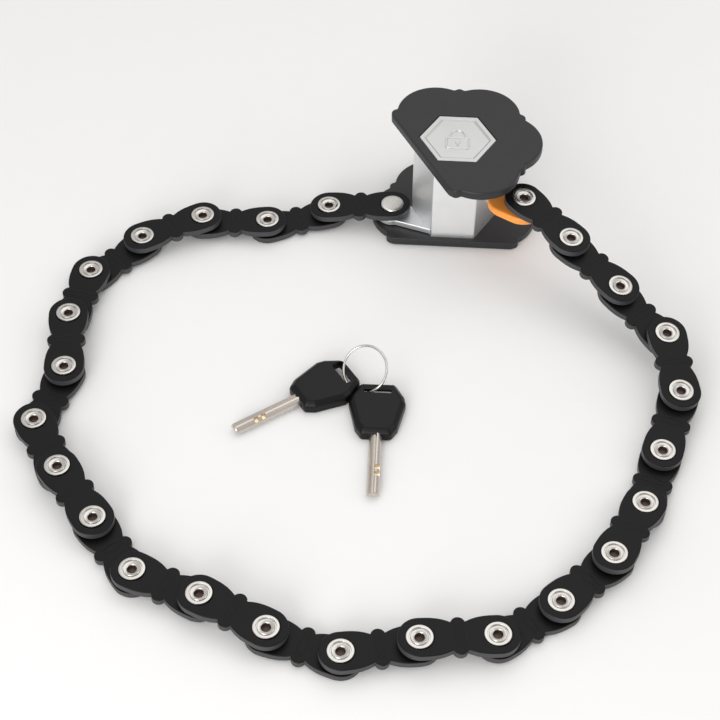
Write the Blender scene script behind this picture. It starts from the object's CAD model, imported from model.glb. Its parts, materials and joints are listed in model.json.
import json
import math

import bmesh
import bpy
from mathutils import Matrix, Vector


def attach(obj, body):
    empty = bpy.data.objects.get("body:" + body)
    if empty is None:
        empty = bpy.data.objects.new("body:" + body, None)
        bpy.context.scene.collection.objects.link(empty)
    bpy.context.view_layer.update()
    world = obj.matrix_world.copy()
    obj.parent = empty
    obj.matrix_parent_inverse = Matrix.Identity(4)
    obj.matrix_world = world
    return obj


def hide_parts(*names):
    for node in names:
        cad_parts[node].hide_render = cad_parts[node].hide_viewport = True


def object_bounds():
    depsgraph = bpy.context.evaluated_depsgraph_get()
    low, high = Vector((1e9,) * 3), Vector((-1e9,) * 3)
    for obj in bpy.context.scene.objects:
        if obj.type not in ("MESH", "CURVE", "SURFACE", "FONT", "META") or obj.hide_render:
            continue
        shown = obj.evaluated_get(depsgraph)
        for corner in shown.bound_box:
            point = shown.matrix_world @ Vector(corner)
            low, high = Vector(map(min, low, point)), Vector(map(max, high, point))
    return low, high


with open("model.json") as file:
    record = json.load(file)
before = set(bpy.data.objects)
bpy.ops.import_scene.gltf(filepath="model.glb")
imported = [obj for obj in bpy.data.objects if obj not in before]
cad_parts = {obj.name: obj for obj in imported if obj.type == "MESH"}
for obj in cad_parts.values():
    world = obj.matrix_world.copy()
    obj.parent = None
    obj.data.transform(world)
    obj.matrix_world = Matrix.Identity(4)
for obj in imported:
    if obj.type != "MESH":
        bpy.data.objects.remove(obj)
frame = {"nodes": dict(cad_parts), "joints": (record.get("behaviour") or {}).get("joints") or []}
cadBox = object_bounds()
mm = 0.001
print("frame loaded:", len(frame["nodes"]), "nodes")


# Colours, nodes and materials

def toLinear(hexColour):
    parts = [int(hexColour[i:i + 2], 16) / 255 for i in (1, 3, 5)]
    return [p / 12.92 if p <= 0.04045 else ((p + 0.055) / 1.055) ** 2.4 for p in parts] + [1.0]


def addNode(tree, kind, settings=None, links=None):
    node = tree.nodes.new(kind)
    for name, value in (settings or {}).items():
        if hasattr(node, name):
            setattr(node, name, value)
        else:
            node.inputs[name].default_value = value
    for name, source in (links or {}).items():
        tree.links.new(source, node.inputs[name])
    return node


# Every finish: body colour, a second colour it varies to, and the grain that breaks up its gloss
finishes = {
    # Matt black coat over hardened steel: near black, with a fine even grain that spreads the light
    "powderCoatedSteel": {"colour": "#0f0f10", "varied": "#0b0b0c", "metallic": 0.0, "roughness": 0.40,
                          "specular": 0.2, "spread": 0.10, "grain": 0.35, "depth": 0.03, "stretch": (1, 1, 1)},
    # The sheared edge of a link under its coat: paler and rougher, so that it stands out from the flat
    "coatedEdge": {"colour": "#414143", "varied": "#363638", "metallic": 0.0, "roughness": 0.5,
                   "specular": 0.4, "spread": 0.10, "grain": 0.5, "depth": 0.04, "stretch": (1, 1, 1)},
    # Moulded glass-filled nylon: dark grey, with a fine spark texture
    "mouldedNylon": {"colour": "#2a2a2c", "varied": "#242426", "metallic": 0.0, "roughness": 0.42,
                     "specular": 0.4, "spread": 0.08, "grain": 0.45, "depth": 0.035, "stretch": (1, 1, 1)},
    # Nickel-plated steel rivets: bright, with a very faint grain
    "nickelPlatedSteel": {"colour": "#dedbd7", "varied": "#c9c4be", "metallic": 1.0, "roughness": 0.26,
                          "spread": 0.08, "grain": 0.9, "depth": 0.008, "stretch": (1, 1, 1)},
    # Oil-darkened steel in the hollow of a rivet: brown and dull
    "oiledSteel": {"colour": "#6f5d54", "varied": "#463a34", "metallic": 0.7, "roughness": 0.5,
                   "spread": 0.15, "grain": 0.8, "depth": 0.08, "stretch": (1, 1, 1)},
    # Extruded satin aluminium: pale, with faint lines along the extrusion
    "satinAluminium": {"colour": "#f4f5f5", "varied": "#eaebec", "metallic": 0.85, "roughness": 0.40,
                       "spread": 0.08, "grain": 0.35, "depth": 0.03, "stretch": (1, 1, 0.03)},
    # Satin-plated die-cast zinc: pale, smooth, barely uneven
    "platedZinc": {"colour": "#dfdfdd", "varied": "#d2d2d0", "metallic": 1.0, "roughness": 0.33,
                   "spread": 0.08, "grain": 1.6, "depth": 0.03, "stretch": (1, 1, 1)},
    # Orange moulded ABS: full colour, soft gloss
    "orangePlastic": {"colour": "#ffa448", "varied": "#ff9838", "metallic": 0.0, "roughness": 0.36,
                      "spread": 0.06, "grain": 0.6, "depth": 0.03, "stretch": (1, 1, 1)},
    # Black moulded ABS of the key bows: deep black, soft gloss
    "blackPlastic": {"colour": "#0a0a0b", "varied": "#070708", "metallic": 0.0, "roughness": 0.34,
                     "specular": 0.25, "spread": 0.08, "grain": 0.5, "depth": 0.03, "stretch": (1, 1, 1)},
    # Nickel-plated brass key blades: warm pale metal, a little uneven in its gloss
    "nickelPlatedBrass": {"colour": "#d8d0c8", "varied": "#c3bab1", "metallic": 1.0, "roughness": 0.28,
                          "spread": 0.10, "grain": 0.5, "depth": 0.03, "stretch": (1, 1, 1)},
    # Bare brass where the key was cut: warm yellow and bright
    "cutBrass": {"colour": "#fbecc8", "varied": "#f3deae", "metallic": 1.0, "roughness": 0.3,
                 "spread": 0.06, "grain": 0.3, "depth": 0.02, "stretch": (1, 1, 1)},
    # Machined brass of the lock cylinder: yellow, with turning lines
    "machinedBrass": {"colour": "#cfae5e", "varied": "#bd9a4c", "metallic": 1.0, "roughness": 0.3,
                      "spread": 0.08, "grain": 0.4, "depth": 0.03, "stretch": (0.05, 0.05, 1)},
    # Pale matt paper of the studio floor
    "studioPaper": {"colour": "#f3f2f1", "varied": "#f1f0ef", "metallic": 0.0, "roughness": 0.9,
                    "spread": 0.02, "grain": 8.0, "depth": 0.0, "stretch": (1, 1, 1)},
}


# Two sizes of noise, in mm: the broad one mixes the colours, the fine one varies the gloss and raises grain
broadGrain = 14


def makeFinish(name, data):
    made = bpy.data.materials.new(name)
    made.use_nodes = True
    tree = made.node_tree
    shader = tree.nodes["Principled BSDF"]
    shader.inputs["Metallic"].default_value = data["metallic"]
    if "specular" in data:
        shader.inputs["Specular IOR Level"].default_value = data["specular"]
    place = addNode(tree, "ShaderNodeTexCoord")
    scaled = addNode(tree, "ShaderNodeMapping", {"Scale": data["stretch"]},
                     {"Vector": place.outputs["Object"]})
    fine = addNode(tree, "ShaderNodeTexNoise", {"Scale": 1 / (data["grain"] * mm), "Detail": 4.0},
                   {"Vector": scaled.outputs["Vector"]})
    broad = addNode(tree, "ShaderNodeTexNoise", {"Scale": 1 / (broadGrain * mm), "Detail": 3.0},
                    {"Vector": place.outputs["Object"]})
    colour = addNode(tree, "ShaderNodeMix", {"data_type": "RGBA"}, {0: broad.outputs["Fac"]})
    colour.inputs[6].default_value = toLinear(data["colour"])
    colour.inputs[7].default_value = toLinear(data["varied"])
    tree.links.new(colour.outputs[2], shader.inputs["Base Color"])
    gloss = addNode(tree, "ShaderNodeMapRange",
                    {"From Min": 0.3, "From Max": 0.7, "To Min": data["roughness"] - data["spread"] / 2,
                     "To Max": data["roughness"] + data["spread"] / 2}, {"Value": fine.outputs["Fac"]})
    tree.links.new(gloss.outputs["Result"], shader.inputs["Roughness"])
    if data["depth"]:
        bump = addNode(tree, "ShaderNodeBump", {"Strength": 0.5, "Distance": data["depth"] * mm},
                       {"Height": fine.outputs["Fac"]})
        tree.links.new(bump.outputs["Normal"], shader.inputs["Normal"])
    return made


material = {name: makeFinish(name, data) for name, data in finishes.items()}
print("finishes:", len(material))


# Mesh tools

def newPiece(name, mesh, finish, body, replaced=(), place=None):
    piece = bpy.data.objects.new(name, mesh)
    bpy.context.scene.collection.objects.link(piece)
    if place is not None:
        piece.matrix_world = place
    for used in ([finish] if isinstance(finish, str) else finish):
        if material[used].name not in mesh.materials:
            mesh.materials.append(material[used])
    weighted = piece.modifiers.new("evenNormals", "WEIGHTED_NORMAL")    # flats stay flat next to round edges
    weighted.keep_sharp = True
    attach(piece, body)
    if replaced:
        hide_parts(*replaced)
    return piece


def smoothMesh(mesh, sharpAngle=40):
    mesh.polygons.foreach_set("use_smooth", [True] * len(mesh.polygons))
    mesh.set_sharp_from_angle(angle=math.radians(sharpAngle))
    mesh.update()
    return mesh


def meshOf(name, bm, sharpAngle=40):
    bmesh.ops.recalc_face_normals(bm, faces=bm.faces)
    mesh = bpy.data.meshes.new(name)
    bm.to_mesh(mesh)
    bm.free()
    return smoothMesh(mesh, sharpAngle)


# Rings of equally many points, joined one to the next. An open row of them gets a face at each end.
def loft(bm, rings, closeEnd=True, closed=False):
    made = [[bm.verts.new(p) for p in ring] for ring in rings]
    pairs = list(zip(made, made[1:])) + ([(made[-1], made[0])] if closed else [])
    for a, b in pairs:
        for i in range(len(a)):
            j = (i + 1) % len(a)
            bm.faces.new((a[i], a[j], b[j], b[i]))
    if not closed:
        bm.faces.new(made[0])
    if not closed and closeEnd:
        bm.faces.new(made[-1])
    return made


def lathe(bm, profile, steps=48, centre=(0, 0)):
    angles = [math.tau * i / steps for i in range(steps)]
    loft(bm, [[(centre[0] + r * math.cos(a), centre[1] + r * math.sin(a), z) for a in angles]
              for r, z in profile])


# Moves an outline inwards by a distance, along the mean of its neighbours' normals
def inset(outline, distance):
    count = len(outline)
    moved = []
    for i, (x, y) in enumerate(outline):
        ax, ay = outline[i - 1]
        bx, by = outline[(i + 1) % count]
        before = Vector((x - ax, y - ay)).normalized()
        after = Vector((bx - x, by - y)).normalized()
        along = (before + after).normalized()
        turn = max(0.5, along.dot(after))
        moved.append((x - along.y * distance / turn, y + along.x * distance / turn))
    return moved


def roundCorners(points, radius, steps=6):
    out = []
    count = len(points)
    for i in range(count):
        here = Vector(points[i])
        a = (Vector(points[i - 1]) - here)
        b = (Vector(points[(i + 1) % count]) - here)
        half = a.angle(b) / 2
        reach = min(radius / math.tan(half), a.length * 0.45, b.length * 0.45)
        start, end = here + a.normalized() * reach, here + b.normalized() * reach
        for k in range(steps + 1):
            t = k / steps
            out.append(tuple(start * (1 - t) ** 2 + here * 2 * t * (1 - t) + end * t ** 2))
    return out


# Moves a convex outline's sides inwards before its corners are rounded, so that the corners stay clean
def insetCorners(corners, distance, radius, steps=4):
    count = len(corners)
    moved = []
    for i in range(count):
        before = (Vector(corners[i]) - Vector(corners[i - 1])).normalized()
        after = (Vector(corners[(i + 1) % count]) - Vector(corners[i])).normalized()
        along = (before + after).normalized()
        aside = Vector((-along.y, along.x))
        moved.append(tuple(Vector(corners[i]) + aside * distance / along.dot(after)))
    return roundCorners(moved, radius, steps)


# Layers of a plate with rounded edges: (distance inwards, height), from its underside to its top
def edgeLayers(low, high, edge, steps=4, lowEdge=None):
    under = edge if lowEdge is None else lowEdge
    turn = [math.pi / 2 * k / steps for k in range(steps + 1)]
    return ([(under * (1 - math.sin(t)), low + under * (1 - math.cos(t))) for t in turn] +
            [(edge * (1 - math.cos(t)), high - edge * (1 - math.sin(t))) for t in turn])


def plate(bm, outline, low, high, edge, lowEdge=None):
    rings = []
    for distance, z in edgeLayers(low, high, edge, lowEdge=lowEdge):
        rings.append([(x, y, z) for x, y in inset(outline, distance)])
    return loft(bm, rings)


# Takes a shape away from a piece and keeps the result as its mesh
def cut(piece, bm):
    cutter = bpy.data.objects.new("cutter", meshOf("cutter", bm))
    bpy.context.scene.collection.objects.link(cutter)
    cutter.matrix_world = piece.matrix_world
    step = piece.modifiers.new("cut", "BOOLEAN")
    step.operation = "DIFFERENCE"
    step.solver = "EXACT"
    step.object = cutter
    bpy.context.view_layer.update()
    shape = bpy.data.meshes.new_from_object(piece.evaluated_get(bpy.context.evaluated_depsgraph_get()))
    piece.modifiers.clear()
    old = piece.data
    piece.data = shape
    bpy.data.meshes.remove(old)
    bpy.data.objects.remove(cutter)


# A mesh cut by other shapes
def cutMesh(name, bm, cutters, sharpAngle=30):
    shape = bpy.data.objects.new(name, meshOf(name, bm))
    bpy.context.scene.collection.objects.link(shape)
    for cutter in cutters:
        cut(shape, cutter)
    mesh = shape.data
    bpy.data.objects.remove(shape)
    mesh.name = name
    return smoothMesh(mesh, sharpAngle)


def boxShape(low, high):
    bm = bmesh.new()
    x0, y0, z0 = low
    x1, y1, z1 = high
    loft(bm, [[(x0, y0, z), (x1, y0, z), (x1, y1, z), (x0, y1, z)] for z in (z0, z1)])
    return bm


# Camera and floor: places and sizes in mm, angles in degrees

cameraSet = {"place": (-11.5, -636.6, 609.7), "turn": 3.3, "down": 48.68, "roll": 0.37, "lens": 83.75,
             "sensor": 36, "near": 10}
turnMatrix = Matrix.Rotation(math.radians(cameraSet["turn"]), 3, "Z")
down = math.radians(cameraSet["down"])
roll = math.radians(cameraSet["roll"])
ahead = turnMatrix @ Vector((0, math.cos(down), -math.sin(down)))
across = turnMatrix @ Vector((1, 0, 0))
upward = turnMatrix @ Vector((0, math.sin(down), math.cos(down)))
right = across * math.cos(roll) + upward * math.sin(roll)
top = upward * math.cos(roll) - across * math.sin(roll)
cameraData = bpy.data.cameras.new("camera")
cameraData.sensor_width = cameraSet["sensor"]
cameraData.lens = cameraSet["lens"]
cameraData.clip_start = cameraSet["near"] * mm
camera = bpy.data.objects.new("camera", cameraData)
bpy.context.scene.collection.objects.link(camera)
camera.matrix_world = Matrix((
    (right.x, top.x, -ahead.x, cameraSet["place"][0] * mm),
    (right.y, top.y, -ahead.y, cameraSet["place"][1] * mm),
    (right.z, top.z, -ahead.z, cameraSet["place"][2] * mm),
    (0, 0, 0, 1)))
bpy.context.scene.camera = camera

floorSet = {"half": 3000, "drop": 0.02}
bm = bmesh.new()
h = floorSet["half"] * mm
bm.faces.new([bm.verts.new(p) for p in ((-h, -h, 0), (h, -h, 0), (h, h, 0), (-h, h, 0))])
floor = bpy.data.objects.new("floor", meshOf("floor", bm))
bpy.context.scene.collection.objects.link(floor)
floor.location.z = cadBox[0][2] - floorSet["drop"] * mm
floor.data.materials.append(material["studioPaper"])

# Large soft panels, in metres and watts: one high on the left, a wide one overhead, the strongest low in
# front and a weak one on the right
lightSet = {
    "main": {"place": (-0.45, -0.75, 0.9), "aim": (0, -0.1, 0), "size": 0.9, "power": 1.9},
    "overhead": {"place": (0.1, 0.35, 1.1), "aim": (0, -0.1, 0), "size": 1.2, "power": 2.6},
    "front": {"place": (-0.35, -1.1, 0.35), "aim": (0, 0, 0.02), "size": 0.6, "power": 5.4},
    "side": {"place": (0.9, -0.2, 0.6), "aim": (0, -0.1, 0), "size": 0.7, "power": 1.0},
}
for name, one in lightSet.items():
    data = bpy.data.lights.new(name, "AREA")
    data.shape = "DISK"
    data.size = one["size"]
    data.energy = one["power"]
    lamp = bpy.data.objects.new(name, data)
    bpy.context.scene.collection.objects.link(lamp)
    lamp.location = one["place"]
    lamp.rotation_euler = (Vector(one["aim"]) - Vector(one["place"])).to_track_quat("-Z", "Y").to_euler()
worldSet = {"colour": "#ffffff", "strength": 0.66}
world = bpy.data.worlds.new("studio")
world.use_nodes = True
world.node_tree.nodes["Background"].inputs["Color"].default_value = toLinear(worldSet["colour"])
world.node_tree.nodes["Background"].inputs["Strength"].default_value = worldSet["strength"]
bpy.context.scene.world = world
bpy.context.scene.view_settings.view_transform = "Standard"
print("camera, floor and lights done")


# Where the links and rivets are, from the joints

linkCount = 25
linkSet = {"pitch": 33.0, "thick": 3.6, "level": 4.7, "lobe": 9.5, "valley": 6.95, "valleyAt": 13.3,
           "flank": 2.8, "knob": 3.2, "knobAt": 5.95, "knobStart": 0.1, "edge": 0.5, "seat": 6.15,
           "seatDepth": 0.7, "lip": 0.15, "bore": 2.9, "boreDepth": 3.0, "firstRaised": 20}
ridgeSet = {"height": 0.10, "half": 0.62, "apart": 1.35, "sway": 0.45, "waves": 1.5, "sunk": 0.02,
            "steps": 24}
jointOf = {joint["name"]: joint for joint in frame["joints"]}
pivotNames = ["anchor_pivot"] + ["pivot_%02d" % k for k in range(1, linkCount)] + ["tongue_pivot"]
pivots = [Vector(jointOf[name]["pos_m"]) / mm for name in pivotNames]
axes = [Vector(jointOf[name]["axis"]) for name in pivotNames]


def stacked(i):
    return "DUL"[i % 3]      # D: above then below, U: above at both ends, L: below at both ends


# A link's direction, sideways direction and normal. Past the first raised pivot, a link that lies on top of
# another has the normal of the pivot at its start.
def linkFrame(i):
    step = pivots[i] - pivots[i - 1]
    rise = linkSet["level"] if stacked(i) == "D" else 0.0
    if stacked(i) != "L" and i > linkSet["firstRaised"]:
        normal = axes[i - 1]
    else:
        flat = Vector((step.x, step.y, 0)).normalized()
        tilt = math.asin(step.z / step.length) - math.atan2(rise, linkSet["pitch"])
        normal = Vector((-flat.x * math.sin(tilt), -flat.y * math.sin(tilt), math.cos(tilt)))
    along = (step - normal * rise).normalized()
    return along, normal.cross(along), normal


def placeOf(along, aside, normal, origin):
    return Matrix(((along.x, aside.x, normal.x, origin.x * mm), (along.y, aside.y, normal.y, origin.y * mm),
                   (along.z, aside.z, normal.z, origin.z * mm), (0, 0, 0, 1)))


# Half the outline of a link, from its first end to its second, on the +Y side
def sideOutline():
    s = linkSet
    half = []
    ends = 26
    for k in range(ends + 1):                       # the round end, from the far point to the top of the lobe
        a = math.pi - math.pi / 2 * k / ends
        half.append((s["lobe"] * math.cos(a), s["lobe"] * math.sin(a)))
    for k in range(1, 10):                          # the lobe's convex flank down to the notch
        x = s["valleyAt"] * k / 9
        half.append((x, s["lobe"] - (s["lobe"] - s["valley"]) * (x / s["valleyAt"]) ** s["flank"]))
    middle = s["pitch"] / 2
    lowest = math.asin((s["valley"] + s["knobStart"] - s["knobAt"]) / s["knob"])
    for k in range(11):                             # half of the knob
        a = math.pi - lowest - (math.pi / 2 - lowest) * k / 10
        half.append((middle + s["knob"] * math.cos(a), s["knobAt"] + s["knob"] * math.sin(a)))
    return half + [(s["pitch"] - x, y) for x, y in reversed(half[:-1])]


upperSide = sideOutline()
lowerSide = [(x, -y) for x, y in reversed(upperSide[1:-1])]
linkOutline = [(x * mm, y * mm) for x, y in reversed(upperSide + lowerSide)]


# Two low wavy ridges across the waist, joining the knobs
def addRidges(bm, topZ):
    s = ridgeSet
    middle, reach = linkSet["pitch"] / 2, linkSet["knobAt"]
    for side in (-1, 1):
        rings = []
        for k in range(s["steps"] + 1):
            y = -reach + 2 * reach * k / s["steps"]
            x = middle + side * (s["apart"] + s["sway"] * math.cos(math.tau * y / (2 * reach) * s["waves"]))
            rings.append([((x + s["half"] * math.cos(a)) * mm, y * mm,
                           (topZ + s["height"] * math.sin(a) - s["sunk"]) * mm)
                          for a in (math.tau * j / 10 for j in range(10))])
        loft(bm, rings)


# A sunk seat for a rivet's head with a blind bore in its middle. Its rim is returned for the top face to meet.
def addSeat(bm, topZ, x):
    steps = 48
    radius, depth, lip = linkSet["seat"], linkSet["seatDepth"], linkSet["lip"]
    made = []
    for r, z in ((radius + lip, topZ), (radius, topZ - lip), (radius, topZ - depth),
                 (linkSet["bore"], topZ - depth), (linkSet["bore"], topZ - linkSet["boreDepth"])):
        made.append([bm.verts.new(((x + r * math.cos(math.tau * i / steps)) * mm,
                                   r * math.sin(math.tau * i / steps) * mm, z * mm)) for i in range(steps)])
    for a, b in zip(made, made[1:]):
        for i in range(steps):
            bm.faces.new((a[i], a[(i + 1) % steps], b[(i + 1) % steps], b[i]))
    bm.faces.new(made[-1])
    return [bm.edges.get((made[0][i], made[0][(i + 1) % steps])) for i in range(steps)]


def linkMesh(kind):
    s = linkSet
    bm = bmesh.new()
    topZ = s["thick"] / 2
    rings = [[(x, y, z * mm) for x, y in inset(linkOutline, distance * mm)]
             for distance, z in edgeLayers(-topZ, topZ, s["edge"])]
    made = loft(bm, rings, closeEnd=False)
    rim = [bm.edges.get((made[-1][i], made[-1][(i + 1) % len(made[-1])])) for i in range(len(made[-1]))]
    for x in {"U": (0, s["pitch"]), "D": (0,), "L": ()}[kind]:
        rim += addSeat(bm, topZ, x)
    bmesh.ops.triangle_fill(bm, use_beauty=True, use_dissolve=False, edges=rim)
    addRidges(bm, topZ)
    mesh = meshOf("link" + kind, bm, 50)
    mesh.materials.append(material["powderCoatedSteel"])
    mesh.materials.append(material["coatedEdge"])
    for face in mesh.polygons:
        steep = abs(face.normal.z) < 0.5
        face.material_index = 1 if steep else 0
    return mesh


linkMeshes = {kind: linkMesh(kind) for kind in "DUL"}
linkFrames = {i: linkFrame(i) for i in range(1, linkCount + 1)}
for i, (along, aside, normal) in linkFrames.items():
    kind = stacked(i)
    middle = pivots[i - 1] + normal * (linkSet["level"] / 2 * (-1 if kind == "L" else 1))
    newPiece("linkPlate%02d" % i, linkMeshes[kind], ["powderCoatedSteel", "coatedEdge"], "link_%02d" % i,
             ["link_%02d" % i], placeOf(along, aside, normal, middle))
print("links done")

# Rivets: a flat outer ring, a groove, a raised inner ring and a brown hollow. The anchor's pin is plain.

rivetSet = {"seat": 3.45, "top": 4.55, "head": 5.85, "headRound": 0.35, "groove": 4.5, "grooveDepth": 0.75,
            "inner": 3.85, "hollow": 2.1, "hollowDepth": 2.6, "shank": 3.0, "tail": 4.6, "tailRound": 0.25,
            "tailHole": 1.0, "tailLow": -3.95, "tailHigh": -3.05, "dimple": 0.6}


# Radius and height along tail, shank and the head's underside
def shankProfile():
    s = rivetSet
    return [(s["tailHole"], s["tailLow"]), (s["tail"] - s["tailRound"], s["tailLow"]),
            (s["tail"], s["tailLow"] + s["tailRound"]), (s["tail"], s["tailHigh"]),
            (s["shank"], s["tailHigh"]), (s["shank"], s["seat"]), (s["head"], s["seat"])]


def rivetMesh():
    s = rivetSet
    bm = bmesh.new()
    top, groove, inner, hollow = s["top"], s["groove"], s["inner"], s["hollow"]
    profile = shankProfile() + [
        (s["head"], top - s["headRound"]), (s["head"] - 0.1, top - 0.12), (s["head"] - s["headRound"], top),
        (groove + 0.12, top), (groove, top - 0.1), (groove - 0.08, top - s["grooveDepth"]),
        (inner + 0.12, top - s["grooveDepth"]), (inner, top - 0.3), (inner - 0.2, top - 0.12),
        (hollow + 0.55, top - 0.3), (hollow + 0.1, top - 0.6), (hollow, top - 0.8),
        (hollow - 0.1, top - s["hollowDepth"])]
    lathe(bm, [(r * mm, z * mm) for r, z in profile])
    mesh = meshOf("rivet", bm, 30)
    mesh.materials.append(material["nickelPlatedSteel"])
    mesh.materials.append(material["oiledSteel"])
    for face in mesh.polygons:
        x, y, z = face.center
        inHollow = math.hypot(x, y) < hollow * mm and z > 0
        face.material_index = 1 if inHollow else 0
    return mesh


def pinMesh():
    s = rivetSet
    bm = bmesh.new()
    head, top = s["head"], s["top"]
    profile = shankProfile() + [(head, top - 0.5), (head - 0.2, top - 0.18), (head - 0.6, top - 0.04),
                                (head - 1.4, top), (s["dimple"], top)]
    lathe(bm, [(r * mm, z * mm) for r, z in profile])
    return meshOf("anchorPin", bm, 30)


rivet, pin = rivetMesh(), pinMesh()
for i in range(1, linkCount + 1):
    kind = stacked(i)
    if kind == "L":
        continue
    ends = [i - 1] + ([i] if kind == "U" else [])
    for k in ends:
        level = Vector((0, 0, 1)) if k < linkSet["firstRaised"] else axes[k]
        along = linkFrames[i][0]
        aside = level.cross(along).normalized()
        along = aside.cross(level)
        isPin = k == 0
        owned = ["rivets_%02d" % i] if k == ends[0] else []
        newPiece("rivet%02d" % k, pin if isPin else rivet,
                 "nickelPlatedSteel" if isPin else ["nickelPlatedSteel", "oiledSteel"],
                 "link_%02d" % i, owned, placeOf(along, aside, level, pivots[k]))
print("rivets done")

# Lock body: a hexagonal column with a slot for the tongue, between two flanges

bodySet = {"apothem": 18.9, "low": 4.8, "high": 50.8, "corner": 1.1, "innerCorner": 0.5, "wall": 2.7,
           "slotHalf": 6.4, "slotLow": -5.3, "slotHigh": -0.6}
flangeSet = {"thick": 4.8, "window": 16.95, "windowRound": 0.15, "step": 15.2, "tip": 42.4, "valley": 35.98,
             "valleyDrop": 1.5, "knob": 2.7, "knobOut": 0.2, "cut": 21.5, "edge": 1.25, "inwardEdge": 0.5,
             "easing": 6, "samples": 720}


def hexPoints(apothem, z, corner=0.0, steps=5):
    radius = apothem / math.cos(math.pi / 6)
    points = [(radius * math.cos(math.pi / 3 * k), radius * math.sin(math.pi / 3 * k)) for k in range(6)]
    if corner:
        points = roundCorners(points, corner, steps)
    return [(x * mm, y * mm, z * mm) for x, y in points]


def columnMesh():
    s = bodySet
    bm = bmesh.new()
    inner = s["apothem"] - s["wall"]
    loft(bm, [hexPoints(s["apothem"], s["low"], s["corner"]), hexPoints(s["apothem"], s["high"], s["corner"]),
              hexPoints(inner, s["high"], s["innerCorner"]), hexPoints(inner, s["low"], s["innerCorner"])],
         closed=True)
    last = pivots[linkCount]
    offset = last.x * math.cos(math.pi / 3) + last.y * math.sin(math.pi / 3)
    slot = boxShape(((inner - 1) * mm, (offset - s["slotHalf"]) * mm, (last.z + s["slotLow"]) * mm),
                    ((s["apothem"] + 1) * mm, (offset + s["slotHalf"]) * mm, (last.z + s["slotHigh"]) * mm))
    bmesh.ops.rotate(slot, verts=slot.verts, matrix=Matrix.Rotation(-math.pi / 6, 3, "Z"))
    return cutMesh("column", bm, [slot])


newPiece("hexColumn", columnMesh(), "satinAluminium", "lock_body", ["column"])


# Distance from the axis to a flange's edge in a direction: lobes, knobs between them and one straight cut
def flangeRadius(angle, cutAngle):
    s = flangeSet
    reach = (s["tip"] ** 2 - s["valley"] ** 2) / (2 * (s["tip"] - s["valley"] * math.cos(math.pi / 6)))
    lobe = s["tip"] - reach
    knobReach = s["valley"] + s["knobOut"]
    best = s["valley"] - s["valleyDrop"]
    for k in range(6):
        for distance, radius, at in ((reach, lobe, k * 60), (knobReach, s["knob"], k * 60 + 30)):
            off = angle - math.radians(at)
            gap = distance * math.sin(off)
            if math.cos(off) > 0 and abs(gap) < radius:
                best = max(best, distance * math.cos(off) + math.sqrt(radius ** 2 - gap ** 2))
    toCut = math.cos(angle - math.radians(cutAngle))
    if toCut > 0.01:
        best = min(best, s["cut"] / toCut)
    return best


def hexRadius(apothem, angle):
    return apothem / math.cos((angle % (math.pi / 3)) - math.pi / 6)


def flangeMesh(name, cutAngle, upper):
    s = flangeSet
    thick, window, small = s["thick"], s["window"], s["windowRound"]
    angles = [math.tau * i / s["samples"] for i in range(s["samples"])]
    outline = [(r * math.cos(a), r * math.sin(a))
               for a, r in ((a, flangeRadius(a, cutAngle)) for a in angles)]
    for _ in range(s["easing"]):                    # eases the corners where lobes, knobs and cut meet
        outline = [((outline[i - 1][0] + 2 * x + outline[(i + 1) % len(outline)][0]) / 4,
                    (outline[i - 1][1] + 2 * y + outline[(i + 1) % len(outline)][1]) / 4)
                   for i, (x, y) in enumerate(outline)]
    outer = [[(x, y, z) for x, y in inset(outline, distance)]
             for distance, z in edgeLayers(0, thick, s["edge"], lowEdge=s["inwardEdge"])]

    def hexRing(apothem, z):
        return [(hexRadius(apothem, a) * math.cos(a), hexRadius(apothem, a) * math.sin(a), z) for a in angles]
    rings = outer + [hexRing(window + small, thick), hexRing(window, thick - small),
                     hexRing(window, thick / 2), hexRing(s["step"], thick / 2), hexRing(s["step"], 0)]
    flip = 1 if upper else -1
    base = bodySet["high"] if upper else bodySet["low"]
    bm = bmesh.new()
    loft(bm, [[(x * mm, y * mm, (base + flip * z) * mm) for x, y, z in ring] for ring in rings], closed=True)
    return meshOf(name, bm, 38)


newPiece("topFlange", flangeMesh("topFlange", 210, True), "mouldedNylon", "lock_body",
         ["upper_flange"])
newPiece("baseFlange", flangeMesh("baseFlange", 270, False), "mouldedNylon", "lock_body",
         ["lower_flange"])

# Hexagonal cap in the upper flange: bevelled border, sunk panel, plain padlock outline

capSet = {"face": 16.7, "edge": 0.3, "border": 14.6, "borderRound": 0.2, "roundDrop": 0.08, "panel": 13.5,
          "depth": 0.75, "neck": 15.0, "neckDepth": 3.7, "shoulder": 2.4, "sunk": 0.3}
emblemSet = {"half": 5.6, "low": -6.4, "high": 1.4, "corner": 1.4, "line": 0.55, "raise": 0.5, "shackle": 3.6,
             "shackleLow": 1.6, "shackleHigh": 3.4, "holeAt": -2.1, "slotLine": 0.45, "slotHigh": -3.0,
             "slotLow": -4.6}


def capMesh():
    s = capSet
    high = bodySet["high"] + flangeSet["thick"] - s["sunk"]
    shoulder = bodySet["high"] + s["shoulder"]
    bm = bmesh.new()
    loft(bm, [hexPoints(s["neck"], bodySet["high"] - s["neckDepth"]), hexPoints(s["neck"], shoulder),
              hexPoints(s["face"], shoulder), hexPoints(s["face"], high - s["edge"]),
              hexPoints(s["face"] - s["edge"], high), hexPoints(s["border"], high),
              hexPoints(s["border"] - s["borderRound"], high - s["roundDrop"]),
              hexPoints(s["panel"], high - s["depth"])])
    return meshOf("cap", bm, 20), high - s["depth"]


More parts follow.
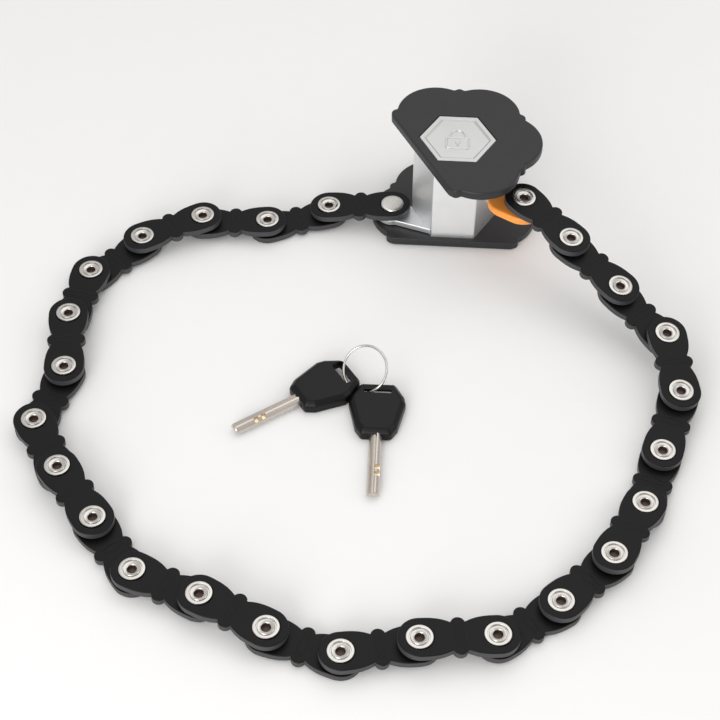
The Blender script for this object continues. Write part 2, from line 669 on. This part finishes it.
# A raised line with rounded shoulders along a path
def strip(bm, path, wide, low, tall, closed=False):
    section = [(-wide, -0.1), (-wide, tall * 0.5), (-wide * 0.6, tall),
               (wide * 0.6, tall), (wide, tall * 0.5), (wide, -0.1)]
    rings = []
    count = len(path)
    for i, (x, y) in enumerate(path):
        a = path[(i - 1) % count] if closed or i else path[i]
        b = path[(i + 1) % count] if closed or i < count - 1 else path[i]
        along = Vector((b[0] - a[0], b[1] - a[1])).normalized()
        aside = Vector((-along.y, along.x))
        rings.append([((x + aside.x * off) * mm, (y + aside.y * off) * mm, (low + z) * mm)
                      for off, z in section])
    loft(bm, rings, closed=closed)


def emblemMesh(panelZ):
    s = emblemSet
    bm = bmesh.new()
    box = roundCorners([(-s["half"], s["low"]), (s["half"], s["low"]), (s["half"], s["high"]),
                        (-s["half"], s["high"])], s["corner"])
    strip(bm, box, s["line"], panelZ, s["raise"], closed=True)
    bend, foot, spring = s["shackle"], s["shackleLow"], s["shackleHigh"]
    shackle = [(-bend, foot), (-bend, spring)] + [(bend * math.cos(a), spring + bend * math.sin(a))
                                                  for a in (math.pi * (1 - k / 16) for k in range(17))]
    strip(bm, shackle + [(bend, foot)], s["line"], panelZ, s["raise"])
    lathe(bm, [(1.25 * mm, (panelZ - 0.1) * mm), (1.25 * mm, (panelZ + 0.2) * mm),
               (0.9 * mm, (panelZ + s["raise"]) * mm)], 24, (0, s["holeAt"] * mm))
    strip(bm, [(0, s["slotHigh"]), (0, s["slotLow"])], s["slotLine"], panelZ, s["raise"])
    return meshOf("emblem", bm, 40)


cap, panelZ = capMesh()
newPiece("topCap", cap, "platedZinc", "lock_body", ["upper_cap"])
newPiece("padlockOutline", emblemMesh(panelZ), "platedZinc", "lock_body")
print("lock body done")

# Anchor lug: a flat arm with a softened edge, from two of the column's corners to the pin

lugSet = {"boss": 8.0, "back": 68, "front": -75, "low": 5.25, "high": 8.45, "edge": 0.45, "lowEdge": 0.3,
          "backRoot": (0.7, -1.2), "frontRoot": (-0.4, 1.2)}


def lugMesh():
    s = lugSet
    at = Vector((pivots[0].x, pivots[0].y))
    corner = bodySet["apothem"] / math.cos(math.pi / 6)
    start, end = math.radians(s["back"]), math.radians(s["front"])
    outline = []
    steps = 40
    for k in range(steps + 1):                      # round the boss, anticlockwise from its back to its front
        a = start + (math.tau + end - start) * k / steps
        outline.append((at.x + s["boss"] * math.cos(a), at.y + s["boss"] * math.sin(a)))
    backRoot = Vector((-corner + s["backRoot"][0], s["backRoot"][1]))
    frontRoot = Vector((-corner / 2 + s["frontRoot"][0], -corner * math.sin(math.pi / 3) + s["frontRoot"][1]))
    outline += [tuple(Vector(outline[-1]).lerp(frontRoot, k / 10)) for k in range(1, 11)]
    outline += [tuple(frontRoot.lerp(backRoot, k / 10)) for k in range(1, 11)]
    outline += [tuple(backRoot.lerp(Vector(outline[0]), k / 10)) for k in range(1, 10)]
    bm = bmesh.new()
    plate(bm, [(x * mm, y * mm) for x, y in outline], s["low"] * mm, s["high"] * mm, s["edge"] * mm,
          s["lowEdge"] * mm)
    return meshOf("lug", bm, 35)


newPiece("anchorArm", lugMesh(), "satinAluminium", "lock_body", ["anchor_lug"])

# Tongue: orange cover with soft edges round a steel blade

tongueSet = {"turn": 150, "cover": 10.9, "length": 18.3, "low": -5.2, "high": -0.95, "edge": 1.0,
             "corner": 10.5, "farCorner": 1.5, "mouth": 12, "mouthHalf": 6.3, "blade": 6.0, "bladeFrom": 12.5,
             "bladeLength": 21.8, "bladeLow": -4.4, "bladeHigh": -1.4, "bladeEdge": 0.3, "play": 0.05,
             "notch": (15.8, 19.2), "notchEnd": -2}


def tongueMatrix():
    turn = Matrix.Rotation(math.radians(tongueSet["turn"]), 4, "Z")
    return Matrix.Translation(pivots[linkCount] * mm) @ turn


def coverMesh():
    s = tongueSet
    outline = [(s["cover"] * math.cos(a), s["cover"] * math.sin(a))
               for a in (math.pi / 2 + math.pi * k / 48 for k in range(49))]
    outline += [(s["length"] * k / 10, -s["cover"]) for k in range(1, 9)]
    for radius, start in ((s["farCorner"], -math.pi / 2), (s["corner"], 0)):
        centre = (s["length"] - radius, (s["cover"] - radius) * (-1 if start else 1))
        outline += [(centre[0] + radius * math.cos(start + math.pi / 2 * k / 24),
                     centre[1] + radius * math.sin(start + math.pi / 2 * k / 24)) for k in range(25)]
    bm = bmesh.new()
    plate(bm, [(x * mm, y * mm) for x, y in outline], s["low"] * mm, s["high"] * mm, s["edge"] * mm)
    mouth = boxShape((s["mouth"] * mm, -s["mouthHalf"] * mm, s["bladeLow"] * mm),
                     (30 * mm, s["mouthHalf"] * mm, s["bladeHigh"] * mm))
    return cutMesh("tongueCover", bm, [mouth])


def bladeMesh():
    s = tongueSet
    tip = s["bladeLength"] - s["blade"]
    outline = [(s["bladeFrom"], -s["blade"]), (tip * 0.94, -s["blade"])]
    outline += [(tip + s["blade"] * math.cos(a), s["blade"] * math.sin(a))
                for a in (-math.pi / 2 + math.pi * k / 24 for k in range(25))]
    outline += [(tip * 0.94, s["blade"]), (s["bladeFrom"], s["blade"])]
    bm = bmesh.new()
    plate(bm, [(x * mm, y * mm) for x, y in outline], (s["bladeLow"] + s["play"]) * mm,
          (s["bladeHigh"] - s["play"]) * mm, s["bladeEdge"] * mm)
    notch = boxShape((s["notch"][0] * mm, -8 * mm, -6 * mm), (s["notch"][1] * mm, s["notchEnd"] * mm, 0))
    return cutMesh("tongueBlade", bm, [notch])


newPiece("tongueCover", coverMesh(), "orangePlastic", "tongue", ["tongue_cover"],
         tongueMatrix())
newPiece("tongueBlade", bladeMesh(), "nickelPlatedSteel", "tongue", ["tongue_blade"],
         tongueMatrix())
print("lug and tongue done")

# Keys and their ring: a key's outline runs along X, with its bow at negative X

keySet = {"places": [(-70.5, -131, 216), (-32, -151, 271)], "halfWidth": 13.5, "thick": 7.0, "corner": 2.2,
          "slotAt": -28.0, "slotLong": 4.5, "slotHalf": 6.7, "slotCorner": 1.0, "barLow": 2.5, "barHigh": 4.1,
          "bladeLong": 34.0, "bladeRadius": 3.1, "bladeLow": 2.1, "bladeMiddle": 2.5, "bladeTaper": 3.6,
          "grooveDepth": 0.9, "cuts": (17.8, 21.6), "cutLong": 2.3, "cutSide": 0.25, "cutLow": 4.0}


def bowMesh():
    s = keySet
    half = s["halfWidth"]
    side = [(0, 7), (-4.5, 10), (-19, half), (-23, half - 0.8), (-30, 8.5), (-31, 6.5)]
    corners = side + [(x, -y) for x, y in reversed(side)]
    layers = [(0.9, 0.0), (0.35, 0.25), (0.05, 0.8), (0, 1.4), (0, 4.0), (0.2, 4.7), (0.6, 5.4), (1.7, 6.45),
              (2.3, 6.85), (3.1, s["thick"])]       # distance inwards, height
    bm = bmesh.new()
    loft(bm, [[(x * mm, y * mm, z * mm) for x, y in insetCorners(corners, d, s["corner"] - d * 0.4)]
              for d, z in layers])
    through = bmesh.new()
    near, far, wide = s["slotAt"] + s["slotLong"], s["slotAt"], s["slotHalf"]
    hole = roundCorners([(far, -wide), (near, -wide), (near, wide), (far, wide)], s["slotCorner"], 4)
    loft(through, [[(x * mm, y * mm, z * mm) for x, y in hole] for z in (-1, 9)])
    above = boxShape((-33 * mm, -wide * mm, s["barHigh"] * mm), ((far + 1) * mm, wide * mm, 10 * mm))
    below = boxShape((-33 * mm, -10.4 * mm, -1 * mm), (-18 * mm, 10.4 * mm, s["barLow"] * mm))
    return cutMesh("keyBow", bm, [through, above, below], 32)


# A blade's section: flat below, round above, with a groove along it and its round top cut flat
def bladeOutline():
    s = keySet
    r, centre = s["bladeRadius"], s["bladeMiddle"]
    points = [(-r, s["bladeLow"]), (-r, centre)]
    for k in range(1, 16):
        a = math.pi - math.pi * k / 16
        y, z = r * math.cos(a), centre + r * math.sin(a)
        if 6 <= k <= 8:
            z -= s["grooveDepth"]
        points.append((y, min(z, centre + r * 0.94)))
    return points + [(r, centre), (r, s["bladeLow"])]


def keyBladeMesh():
    s = keySet
    bm = bmesh.new()
    points = bladeOutline()
    tip, middle = s["bladeLong"], s["bladeTaper"]
    rings = []
    for x, shrink in ((-0.6, 1.0), (tip - 1.2, 1.0), (tip - 0.4, 0.94), (tip, 0.8)):
        rings.append([(x * mm, y * shrink * mm, (middle + (z - middle) * shrink) * mm) for y, z in points])
    loft(bm, rings)
    cutters = [boxShape((x * mm, s["cutSide"] * mm, s["cutLow"] * mm),
                        ((x + s["cutLong"]) * mm, 5 * mm, 9 * mm)) for x in s["cuts"]]
    mesh = cutMesh("keyBlade", bm, cutters, 25)
    mesh.materials.clear()
    mesh.materials.append(material["nickelPlatedBrass"])
    mesh.materials.append(material["cutBrass"])
    for face in mesh.polygons:
        x, y, z = (v / mm for v in face.center)
        inCut = any(c - 0.02 < x < c + s["cutLong"] + 0.02 for c in s["cuts"]) and y > s["cutSide"] - 0.05
        floorOfCut = inCut and face.normal.z > 0.9 and abs(z - s["cutLow"]) < 0.05
        face.material_index = 1 if floorOfCut else 0
    return mesh


bow, keyBlade = bowMesh(), keyBladeMesh()
for number, (x, y, heading) in enumerate(keySet["places"], 1):
    where = Matrix.Translation(Vector((x, y, 0)) * mm) @ Matrix.Rotation(math.radians(heading), 4, "Z")
    newPiece("keyBow%d" % number, bow, "blackPlastic", "keys",
             ["key_bows"] if number == 1 else [], where)
    newPiece("keyBlade%d" % number, keyBlade, ["nickelPlatedBrass", "cutBrass"], "keys",
             ["key_blades"] if number == 1 else [], where)

ringSet = {"centre": (-39.17, -114.53, 8.46), "radius": 11.25, "wire": 0.6, "lean": (33.75, -26.0)}


def ringMesh():
    s = ringSet
    bm = bmesh.new()
    rings = []
    for k in range(96):
        a = math.tau * k / 96
        rings.append([((s["radius"] + s["wire"] * math.cos(b)) * math.cos(a) * mm,
                       (s["radius"] + s["wire"] * math.cos(b)) * math.sin(a) * mm,
                       s["wire"] * math.sin(b) * mm) for b in (math.tau * j / 14 for j in range(14))])
    loft(bm, rings, closed=True)
    return meshOf("wireRing", bm)


leanX, leanY = (math.radians(a) for a in ringSet["lean"])
lean = Matrix.Rotation(leanY, 4, "Y") @ Matrix.Rotation(leanX, 4, "X")
newPiece("wireRing", ringMesh(), "nickelPlatedSteel", "keys", ["key_ring"],
         Matrix.Translation(Vector(ringSet["centre"]) * mm) @ lean)
print("keys done")

# Parts inside the lock body keep their shapes and get their real finishes

keptFinishes = {"lower_cap": "platedZinc", "dust_cover": "platedZinc", "tie_bolts": "nickelPlatedSteel",
                "cylinder_housing": "machinedBrass", "cylinder_core": "machinedBrass",
                "detainer_discs": "nickelPlatedSteel", "circlip": "oiledSteel",
                "locking_cam": "nickelPlatedSteel"}
for name, finish in keptFinishes.items():
    kept = frame["nodes"][name]
    for used in kept.material_slots:
        used.material = material[finish]
print("kept parts done")
